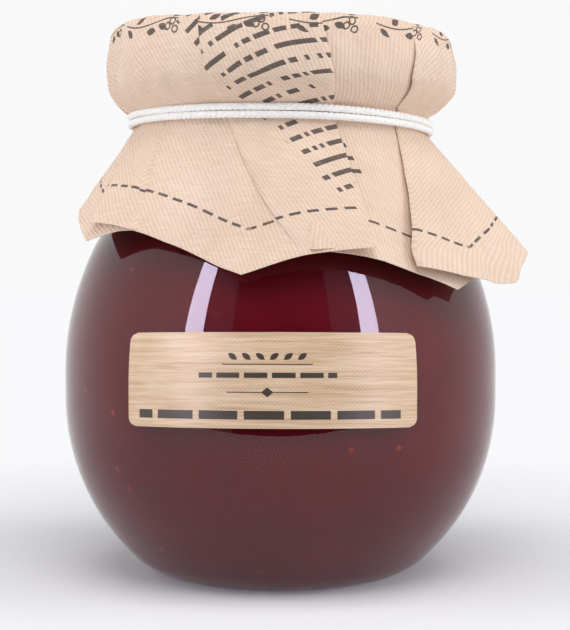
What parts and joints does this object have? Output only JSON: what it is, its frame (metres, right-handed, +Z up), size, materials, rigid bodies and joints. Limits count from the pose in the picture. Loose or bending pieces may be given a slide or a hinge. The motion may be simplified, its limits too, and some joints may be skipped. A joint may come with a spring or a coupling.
{
  "type": "jam jar",
  "caption": "Round-bellied glass jar of red jam, closed with a twist-off lid under a pleated kraft paper cover tied with string, with a plain paper label.",
  "frame": {"origin": "middle of the jar's foot, on the surface that it stands on", "axes": "+Z up along the jar's axis, -Y out of the front, where the label is, +X to the right of it"},
  "size_m": [0.0883, 0.0864, 0.1053],
  "materials": {
    "jar_glass": "clear moulded soda-lime glass, glossy",
    "jam": "dark red strawberry jam, wet and glossy",
    "lid_steel": "lacquered tinplate, satin",
    "label_paper": "printed wood-grain paper label with a slight gloss",
    "string_cotton": "white twisted cotton string",
    "kraft_paper": "light brown ribbed kraft paper, matte"
  },
  "bodies": {
    "root": {"jar": "jar_glass", "jam": "jam", "lid": "lid_steel", "label": "label_paper", "string": "string_cotton", "paper_cover": "kraft_paper"}
  },
  "joints": []
}
